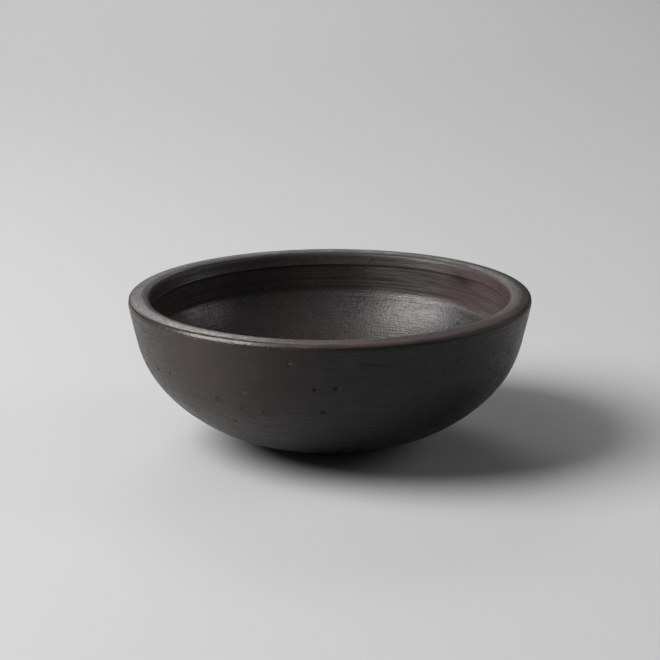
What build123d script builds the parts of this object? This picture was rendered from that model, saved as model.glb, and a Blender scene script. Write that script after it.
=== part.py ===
from build123d import *

import os
from math import asin, cos, degrees, radians, sin, tan

# Round-bottomed black clay bowl, raised from a pressed dish, two wall coils and a rim coil.
#
# Frame: millimetres, +Z up, origin at the centre of the small flat that the bowl rests on.
# The bowl is a solid of revolution about Z. Its whole clay section is drawn once, and each course of
# clay is the part of that section between two lap joints. A lap joint is a cone that falls towards
# the inside of the bowl, the way a coil is pressed down over the course below it, and the two courses
# share that face.

# Outside of the shell: three curves that run into each other, then a straight wall up to the arris,
# the corner at the outer edge of the rim. Slopes are in degrees above the horizontal.
rest_radius = 26.0  # flat cut into the rounded underside
underside_radius = 190.3
belly_radius = 105.0
shoulder_radius = 67.0
belly_foot_slope = 18.2  # where the underside becomes the belly
shoulder_foot_slope = 46.5
wall_slope = 77.0
wall_length = 27.3  # along the slope

# Inside of the shell: a shallow round basin, a tighter flank, then a band of steep wall below the rim.
floor_height = 10.0
basin_radius = 137.0
flank_radius = 62.0
flank_foot_slope = 44.7  # where the basin becomes the flank
band_foot_slope = 66.0  # of the flank, where it meets the steep band

# Rim: corners of its section before rounding, measured inwards and upwards from the arris.
crest = (7.8, 2.1)
brow = (14.2, 0.5)  # inner edge of the rim's top
lip = (16.2, -6.8)  # lowest edge of the rim's inner face
cove = (15.7, -8.3)  # top of the inner wall's band, in the slight undercut below the lip
arris_rounding = 3.2
crest_rounding = 12.0
brow_rounding = 3.5
lip_rounding = 0.6
cove_rounding = 2.0

# Groove round the outside, where the rim coil's joint comes out under the arris. Its depth is
# measured from the line of the straight wall.
groove_radius = 0.9
groove_depth = 0.6

# Finger rings round the foot of the inner wall.
ring_count = 3
ring_pitch = 2.95
ring_radius = 1.5
ring_depth = 0.3

# Lap joints: height of the cone out at the arris's radius, and how steeply it falls inwards.
dish_joint = (36.0, 0.0)
lower_joint = (60.0, 12.0)
rim_joint = (91.3, 23.0)

# Slope of the underside where it leaves the resting flat.
rest_slope = degrees(asin(rest_radius / underside_radius))

outer_curves = [
    (underside_radius, belly_foot_slope),
    (belly_radius, shoulder_foot_slope),
    (shoulder_radius, wall_slope),
]
inner_curves = [
    (basin_radius, flank_foot_slope),
    (flank_radius, band_foot_slope),
]


def draw_curves(start, slope, curves):
    """Draw curves that run into each other, outwards from the axis, and return where they end."""
    for radius, end_slope in curves:
        direction = (cos(radians(slope)), sin(radians(slope)))
        arc = JernArc(start, direction, radius, end_slope - slope)
        start = arc @ 1
        slope = end_slope
    return start


def between(foot, top, height):
    """Point at a height on the straight stretch from foot to top."""
    return foot + (top - foot) * ((height - foot.Y) / (top.Y - foot.Y))


with BuildSketch(Plane.XZ) as clay_section:
    with BuildLine():
        floor = Vector(0, floor_height)
        wall_foot = draw_curves((rest_radius, 0), rest_slope, outer_curves)
        band_foot = draw_curves(floor, 0, inner_curves)
        arris = wall_foot + Vector(wall_length, 0).rotate(Axis.Z, wall_slope)
        band_top = arris + Vector(-cove[0], cove[1])
        FilletPolyline(
            wall_foot,
            arris,
            arris + Vector(-crest[0], crest[1]),
            arris + Vector(-brow[0], brow[1]),
            arris + Vector(-lip[0], lip[1]),
            band_top,
            band_foot,
            radius=(arris_rounding, crest_rounding, brow_rounding, lip_rounding, cove_rounding),
        )
        Polyline(floor, (0, 0), (rest_radius, 0))
    make_face()
    groove = between(wall_foot, arris, rim_joint[0])
    with Locations(groove + Vector(groove_radius - groove_depth, 0)):
        Circle(groove_radius, mode=Mode.SUBTRACT)
    for number in range(ring_count):
        ring = between(band_foot, band_top, band_foot.Y + ring_radius + number * ring_pitch)
        with Locations(ring - Vector(ring_radius - ring_depth, 0)):
            Circle(ring_radius, mode=Mode.SUBTRACT)

# Levels clear of the clay below and above, and a radius clear of it outside.
underneath = (-rest_radius, 0.0)
overhead = (arris.Y + rest_radius, 0.0)
far_radius = arris.X + rest_radius


def course_band(lower, upper):
    """Corners of the band between two lap joints, from the axis out past the wall."""
    corners = []
    for (height, slope), radii in ((lower, (0, far_radius)), (upper, (far_radius, 0))):
        for radius in radii:
            corners.append((radius, height + (radius - arris.X) * tan(radians(slope))))
    return corners


os.makedirs("parts", exist_ok=True)

# Dish pressed over a mould: the underside, the belly and the resting flat.
with BuildPart() as base_dish:
    with BuildSketch(Plane.XZ):
        add(clay_section.sketch_local)
        Polygon(*course_band(underneath, dish_joint), align=None, mode=Mode.INTERSECT)
    revolve(axis=Axis.Z)
base_dish.part.label = "base_dish"
export_step(base_dish.part, "parts/base_dish.step")

# First coil, laid on the dish and drawn up round the shoulder.
with BuildPart() as lower_wall_coil:
    with BuildSketch(Plane.XZ):
        add(clay_section.sketch_local)
        Polygon(*course_band(dish_joint, lower_joint), align=None, mode=Mode.INTERSECT)
    revolve(axis=Axis.Z)
lower_wall_coil.part.label = "lower_wall_coil"
export_step(lower_wall_coil.part, "parts/lower_wall_coil.step")

# Second coil: the straight part of the wall, with the finger rings at its foot.
with BuildPart() as upper_wall_coil:
    with BuildSketch(Plane.XZ):
        add(clay_section.sketch_local)
        Polygon(*course_band(lower_joint, rim_joint), align=None, mode=Mode.INTERSECT)
    revolve(axis=Axis.Z)
upper_wall_coil.part.label = "upper_wall_coil"
export_step(upper_wall_coil.part, "parts/upper_wall_coil.step")

# Last coil: the thick rounded rim that stands inwards over the undercut.
with BuildPart() as rim_coil:
    with BuildSketch(Plane.XZ):
        add(clay_section.sketch_local)
        Polygon(*course_band(rim_joint, overhead), align=None, mode=Mode.INTERSECT)
    revolve(axis=Axis.Z)
rim_coil.part.label = "rim_coil"
export_step(rim_coil.part, "parts/rim_coil.step")
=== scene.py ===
from math import asin, atan2, ceil, cos, degrees, pi, radians, sin, tan

import bpy
import numpy as np
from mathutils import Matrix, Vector


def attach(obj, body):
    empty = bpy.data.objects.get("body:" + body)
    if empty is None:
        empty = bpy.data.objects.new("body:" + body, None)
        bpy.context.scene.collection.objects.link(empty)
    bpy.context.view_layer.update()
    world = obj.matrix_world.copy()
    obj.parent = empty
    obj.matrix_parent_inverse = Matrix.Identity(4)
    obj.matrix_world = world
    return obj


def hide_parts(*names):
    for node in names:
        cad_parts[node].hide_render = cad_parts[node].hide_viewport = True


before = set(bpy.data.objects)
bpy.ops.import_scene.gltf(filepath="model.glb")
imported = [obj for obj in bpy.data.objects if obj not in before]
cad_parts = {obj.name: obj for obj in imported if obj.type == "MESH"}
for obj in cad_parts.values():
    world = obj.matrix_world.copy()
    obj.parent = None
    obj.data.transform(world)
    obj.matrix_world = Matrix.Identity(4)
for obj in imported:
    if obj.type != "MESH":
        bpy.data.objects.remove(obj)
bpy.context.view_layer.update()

MM = 0.001  # the bowl is worked out in millimetres, and Blender is in metres
CLOSE = 1e-6  # millimetres, as good as touching

# ---------------------------------------------------------------------------------------------------
# The clay section, as in the CAD model: radius and height in millimetres, slopes in degrees.
# ---------------------------------------------------------------------------------------------------

REST_RADIUS = 26.0
UNDERSIDE_RADIUS = 190.3
WALL_SLOPE = 77.0
WALL_LENGTH = 27.3
OUTER_CURVES = (  # radius of each curve, and the slope where it ends: underside, belly, shoulder
    (UNDERSIDE_RADIUS, 18.2),
    (105.0, 46.5),
    (67.0, WALL_SLOPE),
)
FLOOR_HEIGHT = 10.0
INNER_CURVES = ((137.0, 44.7), (62.0, 66.0))  # basin, then flank

RIM_CORNERS = (  # inwards and upwards from the arris, and the rounding of each corner
    (0.0, 0.0, 3.2),  # arris
    (7.8, 2.1, 12.0),  # crest
    (14.2, 0.5, 3.5),  # brow
    (16.2, -6.8, 0.6),  # lip
    (15.7, -8.3, 2.0),  # cove
)

JOINTS = {  # height of the joint's cone at the arris's radius, and how steeply it falls inwards
    "dish": (36.0, 0.0),
    "lower": (60.0, 12.0),
    "rim": (91.3, 23.0),
}
COURSES = {  # node: the joint below and the joint above
    "base_dish": (None, "dish"),
    "lower_wall_coil": ("dish", "lower"),
    "upper_wall_coil": ("lower", "rim"),
    "rim_coil": ("rim", None),
}

CELL = 0.7  # length of a mesh cell along the section
COLUMNS = 1024  # mesh cells round the bowl, halved towards the axis
FEWEST_COLUMNS = 16
NARROWEST = 0.6  # of a cell's length: how narrow cells get before a ring's columns are halved
CROWDING = 0.45  # how much closer together the cells are round the front than their mean


def direction(slope):
    """A step of one unit along a slope, as radius and height."""
    return np.array([cos(radians(slope)), sin(radians(slope))])


def steps(length, cell=CELL):
    """Even shares that divide a length into cells."""
    return np.linspace(0, 1, max(2, ceil(length / cell)) + 1)[1:]


def curve_points(start, slope, curves):
    """Points along curves that run into each other, from the axis out to the straight wall."""
    points = [start]
    for radius, end_slope in curves:
        centre = points[-1] + radius * direction(slope + 90)
        turn = end_slope - slope
        for share in steps(radius * radians(turn)):
            points.append(centre + radius * direction(slope + share * turn - 90))
        slope = end_slope
    return points


def straight_points(start, end):
    """Points after start along a straight stretch."""
    length = np.hypot(*(end - start))
    return [start + (end - start) * share for share in steps(length)]


def rounded_points(corners, radii):
    """Points along a polyline whose inner corners are rounded."""
    points = [corners[0]]
    for before, corner, after, radius in zip(corners, corners[1:], corners[2:], radii):
        arriving = (corner - before) / np.hypot(*(corner - before))
        leaving = (after - corner) / np.hypot(*(after - corner))
        turn = atan2(arriving[0] * leaving[1] - arriving[1] * leaving[0], arriving @ leaving)
        points += straight_points(points[-1], corner - radius * tan(abs(turn) / 2) * arriving)
        side = np.array([-arriving[1], arriving[0]]) * np.sign(turn)
        centre = points[-1] + radius * side
        for share in steps(radius * abs(turn), min(CELL, radius / 4)):
            spoke = radius * (abs(sin(share * turn)) * arriving - cos(share * turn) * side)
            points.append(centre + spoke)
    return points + straight_points(points[-1], corners[-1])


def crossing(line, joint):
    """How far each point of the section is above a joint's cone."""
    level, slope = JOINTS[joint]
    return line[:, 1] - level - (line[:, 0] - arris[0]) * tan(radians(slope))


def whole_section():
    """Radius and height along the clay: out under the bowl, over the rim, and in to its floor."""
    rest_edge = np.array([REST_RADIUS, 0.0])
    flat = [np.zeros(2)] + straight_points(np.zeros(2), rest_edge)
    rest_slope = degrees(asin(REST_RADIUS / UNDERSIDE_RADIUS))
    outer = curve_points(rest_edge, rest_slope, OUTER_CURVES)
    inner = curve_points(np.array([0.0, FLOOR_HEIGHT]), 0, INNER_CURVES)[::-1]
    arris = outer[-1] + WALL_LENGTH * direction(WALL_SLOPE)
    corners = [arris + np.array([-inset, lift]) for inset, lift, _ in RIM_CORNERS]
    radii = [rounding for _, _, rounding in RIM_CORNERS]
    rim = rounded_points([outer[-1]] + corners + [inner[0]], radii)
    return np.array(flat + outer[1:] + rim[1:] + inner[1:]), arris


section, arris = whole_section()
for joint in JOINTS:  # a point of the section where each joint comes out, outside and inside
    over = crossing(section, joint)
    for row in np.nonzero(np.diff(np.sign(over)))[0][[-1, 0]]:
        share = over[row] / (over[row] - over[row + 1])
        point = section[row] + share * (section[row + 1] - section[row])
        section = np.insert(section, row + 1, point, axis=0)


def seam_rows(joint):
    """Where a joint comes out of the clay along the section, outside and inside."""
    return np.nonzero(np.abs(crossing(section, joint)) < CLOSE)[0][[0, -1]]


# ---------------------------------------------------------------------------------------------------
# The surface: the section turned round the axis, then worked by hand
# ---------------------------------------------------------------------------------------------------

SEED = 7
SMALL_PITS = 110
SMALL_PITS_INSIDE = 0.15  # share of them
SCRAPES = 70
RIM_ALLOWANCE = 0.2  # how far the rim is set in, a little more than its unevenness can stand out
FINGER_RINGS = ((75.7, 0.20), (72.9, 0.13), (70.0, 0.26), (66.6, 0.16))  # height and depth

rng = np.random.default_rng(SEED)
radius, height = section.T
along = np.concatenate([[0], np.cumsum(np.hypot(*np.diff(section, axis=0).T))])
tangent = np.gradient(section, along, axis=0)
tangent /= np.hypot(*tangent.T)[:, None]
crest_row = int(height.argmax())
turn = np.arange(COLUMNS) / COLUMNS
around = turn - CROWDING * np.sin(2 * pi * (turn - 0.75)) / (2 * pi)  # share of a turn from +X


def outside_at(level):
    """Place along the section of a height on the outside."""
    return np.interp(level, height[:crest_row], along[:crest_row])


def inside_at(level):
    """Place along the section of a height on the inside."""
    return np.interp(level, height[:crest_row:-1], along[:crest_row:-1])


def relief(pitch, count):
    """Smooth random heights from -1 to 1: one each pitch along the section, and count round it."""
    values = rng.uniform(-1, 1, (ceil(along[-1] / pitch) + 2, count))
    row, row_share = np.divmod(along / pitch, 1)
    column, column_share = np.divmod(around * count, 1)
    row, column = row.astype(int), column.astype(int)
    row_share = (row_share**2 * (3 - 2 * row_share))[:, None]
    column_share = column_share**2 * (3 - 2 * column_share)
    beside = (column + 1) % count
    near = values[row][:, column] * (1 - column_share) + values[row][:, beside] * column_share
    far = values[row + 1][:, column] * (1 - column_share) + values[row + 1][:, beside] * column_share
    return near * (1 - row_share) + far * row_share


def bell(distance, width):
    """1 at no distance, falling smoothly to nearly 0 at twice the width."""
    return np.exp(-((distance / width) ** 2))


def rise(value, low, high):
    """0 at low and 1 at high, smoothly."""
    share = np.clip((value - low) / (high - low), 0, 1)
    return share**2 * (3 - 2 * share)


def span(value, low, high, soft):
    """1 between low and high, falling smoothly to 0 over soft on both sides."""
    return rise(value, low - soft, low) * (1 - rise(value, high, high + soft))


def bearing_from(right):
    """How far round each column is from a bearing, in degrees: 0 front, 90 right, 180 back."""
    return ((around - (right - 90) / 360 + 0.5) % 1 - 0.5) * 360


# How far the surface stands out, in millimetres: unevenness of the hand-built wall, of the burnishing
# strokes and of the scraped belly
proud = 0.11 * relief(38, 6) + 0.06 * relief(13, 15) + 0.022 * relief(2.6, 24)
belly = span(along, outside_at(9), outside_at(46), 12)[:, None]
proud += 0.035 * belly * relief(1.7, 14)
pit_shade_and_stain = np.zeros_like(proud)  # how far a place is down in a pit or crack, painted dark there as shade; also darker scrapes and a rough patch, a stain, and painted shade in the groove under the arris
pale = np.zeros_like(proud)  # grit and light scratches
ruddy_wear_and_lip_highlight = np.zeros_like(proud)  # where the clay shows reddish-brown through the black, and a reddish painted highlight along the lip

# Groove under the arris, and the rings that fingers left round the foot of the inner wall
arris_row = int(np.abs(section - arris).sum(1).argmin())
groove_place = along[seam_rows("rim")[0]]
groove = bell(along - groove_place, 0.9)[:, None]
proud -= (0.32 + 0.14 * relief(60, 9)) * groove
for level, depth in FINGER_RINGS:
    wander = 0.5 * relief(90, 7)
    ring = bell(along[:, None] - inside_at(level) - wander, 0.95)
    proud -= depth * (0.7 + 0.5 * relief(50, 11)) * ring


def press(place, right, length, width, depth, tilt=0.0, grit=0.0, rough=1.0):
    """Sink an oval into the clay, its length round the bowl unless tilted, some with grit in it."""
    rows = np.abs(along - place) < 1.5 * length
    across = bearing_from(right) / 360 * 2 * pi * np.interp(place, along, radius)
    up = (along[rows] - place)[:, None]
    c, s = cos(radians(tilt)), sin(radians(tilt))
    reach = ((across * c + up * s) / (length / 2)) ** 2 + ((up * c - across * s) / (width / 2)) ** 2
    dent = np.exp(-(reach**1.5))
    proud[rows] -= depth * dent
    # The dent is painted dark as shade, as far as rough says
    pit_shade_and_stain[rows] = np.maximum(pit_shade_and_stain[rows], rough * dent)
    pale[rows] = np.maximum(pale[rows], grit * np.exp(-((2.2 * reach) ** 2)))


def score(start, end, width, depth):
    """Cut a jagged crack between two places on the outside, each a bearing and a height."""
    (right, level), (end_right, end_level) = start, end
    rise_mm = outside_at(end_level) - outside_at(level)
    run_mm = radians(end_right - right) * arris[0]
    tilt = degrees(atan2(rise_mm, run_mm))
    for share in steps(np.hypot(rise_mm, run_mm), 1.1):
        place = outside_at(level) + share * rise_mm + rng.normal(0, 0.25)
        here = right + share * (end_right - right)
        press(place, here, 2.2, width, depth * rng.uniform(0.4, 1), tilt + rng.normal(0, 14))


# Pits that stand out on the outside: bearing, height, length, width, depth, tilt, grit. A dent fades
# out at its edge, so each is pressed a little larger and deeper than it is to look.
PIT_SIZE = 1.15
PIT_DEPTH = 1.5
PITS = (
    (-10.8, 81.5, 2.8, 2.2, 0.45, 0, 0.6),
    (-4.2, 65.5, 1.9, 1.7, 0.6, 0, 0.0),
    (1.5, 66.3, 2.2, 2.0, 0.65, 30, 0.0),
    (2.9, 66.2, 1.2, 1.1, 0.1, 0, 0.6),
    (-2.0, 50.3, 4.0, 1.5, 0.6, -38, 0.0),
    (-32.0, 37.5, 3.2, 1.3, 0.5, -12, 0.0),
    (-20.0, 48.3, 1.8, 1.3, 0.4, 0, 0.0),
    (-27.0, 48.9, 1.7, 1.2, 0.35, 20, 0.0),
    (-60.5, 61.0, 1.9, 1.6, 0.4, 0, 0.0),
    (-53.0, 62.5, 1.5, 1.3, 0.35, 0, 0.0),
    (62.0, 70.0, 1.6, 1.4, 0.4, 0, 0.0),
)
for right, level, length, width, depth, tilt, grit in PITS:
    press(outside_at(level), right, PIT_SIZE * length, PIT_SIZE * width, PIT_DEPTH * depth, tilt, grit)
press(inside_at(82), 167, 1.8, 1.5, 0.3, grit=1.0)
press(outside_at(53), -34.5, 5.5, 4.5, 0.18, rough=0.6)  # patch the burnisher left rough
press(outside_at(60.3), -24.5, 5.0, 0.9, 0.12, tilt=12, grit=0.5, rough=0.0)
score((7.5, 83.0), (16.8, 78.5), 0.7, 0.16)
score((21.0, 83.0), (26.8, 80.0), 0.7, 0.16)

# Smaller pits and scrapes all round, few of them inside
for _ in range(SMALL_PITS):
    inside = rng.random() < SMALL_PITS_INSIDE
    stretch = (inside_at(80), along[-1] - 40) if inside else (outside_at(6), groove_place)
    place = rng.uniform(*stretch)
    size = rng.uniform(0.8, 1.2 if inside else 1.8)
    press(place, rng.uniform(12, 348), size * rng.uniform(1, 1.5), size, size * rng.uniform(0.12, 0.22),
          rng.uniform(-30, 30), rng.choice([0.0, 0.0, 0.0, 0.8]))
for _ in range(SCRAPES):
    place = rng.uniform(outside_at(8), outside_at(56))
    press(place, rng.uniform(0, 360), rng.uniform(12, 50), rng.uniform(0.9, 1.4), rng.uniform(0.03, 0.1),
          rng.normal(0, 1.5), rough=0.25)

# Reddish-brown wear along the arris and on the wall inside to the right, and a reddish painted highlight
# along the lip
front_right = span(bearing_from(22), -26, 24, 26)
inner_right = span(bearing_from(85), -45, 40, 30)
arris_band = span(along, groove_place + 1, groove_place + 5.5, 1.8)[:, None]
inner_wall = span(along, inside_at(91), inside_at(66), 4)[:, None]
ruddy_wear_and_lip_highlight += arris_band * (0.15 + 0.75 * front_right) * (0.8 + 0.3 * relief(3, 40))
ruddy_wear_and_lip_highlight += 0.95 * inner_wall * inner_right * (0.75 + 0.35 * relief(6, 30))
# A painted highlight: a reddish light line along the lip, strongest on the right
ruddy_wear_and_lip_highlight += bell(along - inside_at(86.5), 1.0)[:, None] * (0.1 + 0.5 * inner_right)
ruddy_wear_and_lip_highlight = np.clip(ruddy_wear_and_lip_highlight, 0, 1)

# Paler, greyer and darker places, each from 0 to 1, some of them painted light and shade
# A paler, streaked band on the inner wall at the back right
pale_band = span(along, inside_at(84), inside_at(66), 3)[:, None] * span(bearing_from(134), -25, 22, 20)
basin = span(along, inside_at(66), along[-1], 8)[:, None]
# Painted fill light: the inner wall at the left, which lies in shade, is painted paler with the basin's
# grey-blue tint
painted_fill_in_shade = rise(along, along[crest_row], inside_at(92))[:, None] * span(bearing_from(-95), -65, 50, 45)
slate_and_painted_fill = np.maximum(basin, 0.5 * painted_fill_in_shade)
# Painted shade: the outer wall round the front and to the right is painted darker
painted_front_shade = span(along, outside_at(2), groove_place, 6)[:, None] * span(bearing_from(18), -14, 26, 36)
smudge = bell(along - inside_at(83.5), 4.0)[:, None] * bell(bearing_from(129), 6.0)
# Painted shade in the groove under the arris, at the front and right
groove_painted_shade = bell(along - groove_place, 0.9)[:, None] * front_right
pit_shade_and_stain = np.clip(pit_shade_and_stain + 0.8 * smudge + 0.8 * groove_painted_shade, 0, 1)

# Where the burnisher left more or less gloss, below 0 on the matt rim, and how coarse the strokes are
front_left = span(bearing_from(-35), -30, 30, 30)
burnished = bell(along - along[arris_row] - 0.8, 3.6)[:, None] * front_left
rim_top = span(along, along[arris_row], inside_at(91), 1.5)[:, None]
matt_rim = rim_top * (0.4 * (1 - front_left) + 1.5 * front_right)
polish = np.maximum(1.15 * burnished, 0.35 * basin) - matt_rim
coarse = 0.3 + rise(-along, -along[arris_row], -groove_place)[:, None]
coarse = coarse + 0.3 * rise(along, inside_at(91), inside_at(80))[:, None]

# The flat that the bowl rests on stays flat, and the rim stays within the CAD model's
proud -= RIM_ALLOWANCE * rise(height, 78, 90)[:, None]
proud *= rise(radius, REST_RADIUS, REST_RADIUS + 14)[:, None]

# The rim leans a little up to the right, and its inner edge more so
angle = 2 * pi * around
rightward = radius[:, None] * np.cos(angle)
brow_share = rise(along, along[crest_row], inside_at(93)) * rise(height, 45, 80)
lip_share = rise(along, inside_at(93), inside_at(87)) * rise(height, 45, 80)
rim_lean = 0.003 * rise(height, 30, 90)[:, None] * (rightward - arris[0])
edge_lean = (0.003 * brow_share + 0.007 * lip_share)[:, None] * rightward

# Where each point of the section lies at each turn, in metres
surface = np.stack([
    (radius[:, None] + proud * tangent[:, 1:]) * np.cos(angle),
    (radius[:, None] + proud * tangent[:, 1:]) * np.sin(angle),
    height[:, None] - proud * tangent[:, :1] + rim_lean + edge_lean,
], -1) * MM

# ---------------------------------------------------------------------------------------------------
# Pieces
# ---------------------------------------------------------------------------------------------------

POINT_VALUES = {
    "along": along[:, None],
    "pit_shade_and_stain": pit_shade_and_stain,
    "pale": pale,
    "ruddy_wear_and_lip_highlight": ruddy_wear_and_lip_highlight,
    "pale_band": pale_band,
    "painted_front_shade": painted_front_shade,
    "slate_and_painted_fill": slate_and_painted_fill,
    "polish": polish,
    "coarse": coarse,
}


def columns_at(row):
    """How many cells a ring has: halved towards the axis, so that cells stay about square."""
    columns = COLUMNS
    while columns > FEWEST_COLUMNS and 2 * pi * radius[row] / columns < NARROWEST * CELL:
        columns //= 2
    return columns if radius[row] > CLOSE else 1


def strip(lower, upper, lower_columns, upper_columns):
    """Faces between two rings, given each ring's first vertex and how many vertices it has."""
    columns = max(lower_columns, upper_columns)
    for i in range(min(lower_columns, upper_columns)):
        j = (i + 1) % min(lower_columns, upper_columns)
        a, b, c = 2 * i, 2 * i + 1, (2 * i + 2) % columns
        if lower_columns == upper_columns:
            yield lower + i, lower + j, upper + j, upper + i
        elif upper_columns == 1:
            yield from ((lower + k, lower + (k + 1) % columns, upper) for k in range(columns))
        elif lower_columns == 1:
            yield from ((lower, upper + (k + 1) % columns, upper + k) for k in range(columns))
        elif lower_columns > upper_columns:
            yield lower + a, lower + b, upper + i
            yield lower + b, upper + j, upper + i
            yield lower + b, lower + c, upper + j
        else:
            yield lower + i, upper + b, upper + a
            yield lower + i, lower + j, upper + b
            yield lower + j, upper + c, upper + b


def add_course(node):
    """The visible piece of one course of clay: its outside, its inside and its joint faces."""
    below, above = COURSES[node]
    outer_low, inner_low = seam_rows(below) if below else (0, len(section) - 1)
    outer_high, inner_high = seam_rows(above) if above else (crest_row, crest_row + 1)
    rows = [*range(outer_low, outer_high + 1), *range(inner_high, inner_low + 1)]
    counts = [columns_at(row) for row in rows]
    firsts = np.concatenate([[0], np.cumsum(counts)]).astype(int)
    picks = [np.arange(count) * (COLUMNS // count) for count in counts]
    faces = []
    for ring in range(len(rows) if below else len(rows) - 1):
        after = (ring + 1) % len(rows)
        faces += strip(int(firsts[ring]), int(firsts[after]), counts[ring], counts[after])
    mesh = bpy.data.meshes.new(node + "_clay")
    mesh.from_pydata(np.concatenate([surface[row, pick] for row, pick in zip(rows, picks)]), [], faces)
    mesh.polygons.foreach_set("use_smooth", np.ones(len(faces), bool))
    for name, values in POINT_VALUES.items():
        values = np.broadcast_to(values, proud.shape)
        values = np.concatenate([values[row, pick] for row, pick in zip(rows, picks)])
        mesh.attributes.new(name, "FLOAT", "POINT").data.foreach_set("value", values)

    # The edges of the joint faces are sharp
    seams = [0, len(rows) - 1] if below else []
    if above:
        seams += [outer_high - outer_low, outer_high - outer_low + 1]
    ends = np.zeros(2 * len(mesh.edges), int)
    mesh.edges.foreach_get("vertices", ends)
    ends = np.repeat(np.arange(len(rows)), counts)[ends.reshape(-1, 2)]
    sharp = (ends[:, 0] == ends[:, 1]) & np.isin(ends[:, 0], seams)
    mesh.attributes.new("sharp_edge", "BOOLEAN", "EDGE").data.foreach_set("value", sharp)

    piece = bpy.data.objects.new(node + "_clay", mesh)
    bpy.context.scene.collection.objects.link(piece)
    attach(piece, "root")
    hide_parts(node)
    return piece


pieces = [add_course(node) for node in COURSES]

# ---------------------------------------------------------------------------------------------------
# Fired clay: blackened in a smoky firing, burnished in strokes that run round the bowl
# ---------------------------------------------------------------------------------------------------

# Colours as linear red, green, blue and alpha
SOOT = (0.0185, 0.0170, 0.0170, 1)
BROWN = (0.0440, 0.0340, 0.0265, 1)
# This colour is reddish-brown wear, and also the painted highlight along the lip
RUDDY = (0.0760, 0.0480, 0.0460, 1)
PALE_BAND = (0.0920, 0.0870, 0.0810, 1)
# This colour is the basin's grey-blue tint, and also painted fill light on the inner wall in shade
SLATE = (0.0420, 0.0405, 0.0440, 1)
# This near black is for dark specks, and also painted shade on the outer wall at the front
BLACK = (0.0040, 0.0040, 0.0045, 1)
# This near black is painted shade in pits, cracks and the groove, and the colour of a stain
SHADE_AND_STAIN_DARK = (0.0030, 0.0027, 0.0027, 1)
GRIT = (0.2800, 0.2500, 0.2100, 1)

clay = bpy.data.materials.new("fired_clay")
clay.use_nodes = True
tree = clay.node_tree
shader = tree.nodes["Principled BSDF"]


def add(kind, inputs, output=0, **settings):
    """Add a node, fill its inputs with values or with other nodes' outputs, and return its output."""
    node = tree.nodes.new("ShaderNode" + kind)
    for name, value in settings.items():
        setattr(node, name, value)
    for socket, value in inputs.items():
        if isinstance(value, bpy.types.NodeSocket):
            tree.links.new(value, node.inputs[socket])
        else:
            node.inputs[socket].default_value = value
    return node.outputs[output]


def combine(operation, *values):
    """Work out a number from values and other nodes' outputs."""
    return add("Math", dict(enumerate(values)), operation=operation)


def noise(vector, scale, detail):
    return add("TexNoise", {"Vector": vector, "Scale": scale, "Detail": detail})


def spread(value, low, high, start=0.35, end=0.65):
    """Stretch the middle of a noise over a new range."""
    inputs = {"Value": value, "From Min": start, "From Max": end, "To Min": low, "To Max": high}
    return add("MapRange", inputs)


def blend(amount, first, second):
    """Mix two colours."""
    return add("Mix", {0: amount, 6: first, 7: second}, 2, data_type="RGBA")


def attribute(name):
    return add("Attribute", {}, "Fac", attribute_name=name)


position = add("TexCoord", {}, "Object")
level_position = add("VectorMath", {0: position, 1: (1, 1, 0)}, operation="MULTIPLY")
spoke = add("VectorMath", {0: level_position}, operation="NORMALIZE")


def stroke_noise(strokes, per_mm, detail):
    """Noise drawn out round the bowl: about so many strokes in a turn, so many to a millimetre."""
    turned = add("VectorMath", {0: spoke, "Scale": strokes / (2 * pi)}, operation="SCALE")
    lifted = add("CombineXYZ", {"Z": combine("MULTIPLY", attribute("along"), per_mm)})
    return noise(add("VectorMath", {0: turned, 1: lifted}, operation="ADD"), 1.0, detail)


clouds = noise(position, 18, 3)
mottle = noise(position, 90, 3)
grain = noise(position, 1500, 2)
specks = noise(position, 620, 3)
strokes = stroke_noise(26, 0.9, 3)
hairlines = stroke_noise(130, 1.6, 2)

colour = blend(spread(clouds, 0, 1), SOOT, BROWN)
for amount, over in (
    (spread(strokes, 0, 0.6, 0.4, 0.7), BROWN),
    # the basin's grey-blue tint, and painted fill light on the inner wall in shade at the left
    (combine("MULTIPLY", attribute("slate_and_painted_fill"), spread(clouds, 0.9, 0.4)), SLATE),
    (spread(specks, 0.3, 0, 0.3, 0.6), BLACK),
    # painted shade on the outer wall at the front and right
    (combine("MULTIPLY", attribute("painted_front_shade"), spread(mottle, 0.85, 1)), BLACK),
    (combine("MULTIPLY", attribute("pale_band"), spread(strokes, 0.3, 1)), PALE_BAND),
    # reddish wear, and the painted highlight along the lip
    (combine("MULTIPLY", attribute("ruddy_wear_and_lip_highlight"), spread(mottle, 0.6, 1)), RUDDY),
    # painted shade in pits, cracks and the groove under the arris, and a stain
    (combine("MULTIPLY", attribute("pit_shade_and_stain"), 0.95), SHADE_AND_STAIN_DARK),
    (combine("MULTIPLY", attribute("pale"), spread(grain, 0.3, 1)), GRIT),
):
    colour = blend(amount, colour, over)
tree.links.new(colour, shader.inputs["Base Color"])

roughness = spread(strokes, 0.34, 0.43)
for change in (
    spread(mottle, -0.03, 0.04),
    spread(hairlines, -0.07, 0.08),
    spread(specks, -0.04, 0.05),
    combine("MULTIPLY", attribute("polish"), -0.18),
    combine("MULTIPLY", attribute("pit_shade_and_stain"), 0.25),
):
    roughness = combine("ADD", roughness, change)
tree.links.new(roughness, shader.inputs["Roughness"])

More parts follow.
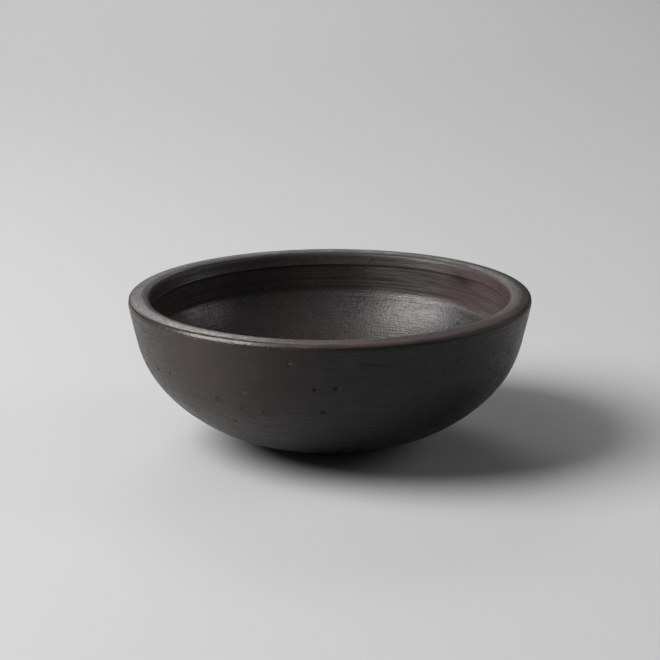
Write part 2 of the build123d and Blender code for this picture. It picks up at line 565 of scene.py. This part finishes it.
# Marks finer than the mesh, in millimetres, deeper where the clay is coarse
worked = combine("MULTIPLY", strokes, 0.13)
for marks, depth in ((hairlines, 0.08), (specks, 0.12), (grain, 0.03)):
    worked = combine("ADD", worked, combine("MULTIPLY", marks, depth))
worked = combine("MULTIPLY", worked, combine("MULTIPLY", attribute("coarse"), 2.2))
bump = add("Bump", {"Height": worked, "Distance": MM}, "Normal")
tree.links.new(bump, shader.inputs["Normal"])
shader.inputs["Specular IOR Level"].default_value = 0.37
shader.inputs["Specular Tint"].default_value = (1.0, 0.975, 0.95, 1)

for piece in pieces:
    piece.data.materials.append(clay)

# ---------------------------------------------------------------------------------------------------
# Studio: pale floor, soft lights mostly from the left, camera a little above the rim
# ---------------------------------------------------------------------------------------------------

FLOOR_REACH = 12.0
FLOOR_COLOUR = (0.52, 0.52, 0.522, 1)
FLOOR_ROUGHNESS = 0.9
WORLD_STRENGTH = 0.062
AIM = Vector((0, 0, 0.05))
LAMPS = {  # bearing round from +X towards +Y, elevation, distance and diameter in metres, watts, aim
    "key": (192, 43, 2.5, 1.85, 93, AIM),
    "top": (180, 70, 2.5, 0.9, 3.5, AIM),
    "behind": (106, 27, 4.0, 2.4, 18, AIM),
    "backdrop": (96, 33, 3.2, 1.4, 18, Vector((-0.3, 2.6, 0))),
    "right": (12, 25, 2.5, 1.4, 9, AIM),
}
CAMERA_ELEVATION = radians(14.85)
CAMERA_DISTANCE = 1.4
CAMERA_AIM = Vector((0, 0, 0.0692))
SENSOR_WIDTH = 36  # millimetres, as is the lens
LENS = 122.7
CLIP_END = 100

floor_mesh = bpy.data.meshes.new("floor")
corners = [(x * FLOOR_REACH, y * FLOOR_REACH, 0) for x, y in ((-1, -1), (1, -1), (1, 1), (-1, 1))]
floor_mesh.from_pydata(corners, [], [(0, 1, 2, 3)])
floor = bpy.data.objects.new("floor", floor_mesh)
bpy.context.scene.collection.objects.link(floor)
matt = bpy.data.materials.new("pale_floor")
matt.use_nodes = True
matt.node_tree.nodes["Principled BSDF"].inputs["Base Color"].default_value = FLOOR_COLOUR
matt.node_tree.nodes["Principled BSDF"].inputs["Roughness"].default_value = FLOOR_ROUGHNESS
floor_mesh.materials.append(matt)

for name, (azimuth, elevation, distance, size, watts, aim) in LAMPS.items():
    data = bpy.data.lights.new(name, "AREA")
    data.shape = "DISK"
    data.size = size
    data.energy = watts
    lamp = bpy.data.objects.new(name, data)
    azimuth, elevation = radians(azimuth), radians(elevation)
    outward = Vector((cos(azimuth) * cos(elevation), sin(azimuth) * cos(elevation), sin(elevation)))
    lamp.location = AIM + distance * outward
    lamp.rotation_euler = (lamp.location - aim).to_track_quat("Z", "Y").to_euler()
    bpy.context.scene.collection.objects.link(lamp)

world = bpy.data.worlds.new("world")
world.use_nodes = True
world.node_tree.nodes["Background"].inputs["Color"].default_value = (1, 1, 1, 1)
world.node_tree.nodes["Background"].inputs["Strength"].default_value = WORLD_STRENGTH
bpy.context.scene.world = world
bpy.context.scene.view_settings.view_transform = "Standard"

camera = bpy.data.objects.new("camera", bpy.data.cameras.new("camera"))
camera.data.sensor_width = SENSOR_WIDTH
camera.data.lens = LENS
camera.data.clip_end = CLIP_END
outward = Vector((0, -cos(CAMERA_ELEVATION), sin(CAMERA_ELEVATION)))
camera.location = CAMERA_AIM + CAMERA_DISTANCE * outward
camera.rotation_euler = (pi / 2 - CAMERA_ELEVATION, 0, 0)
bpy.context.scene.collection.objects.link(camera)
bpy.context.scene.camera = camera
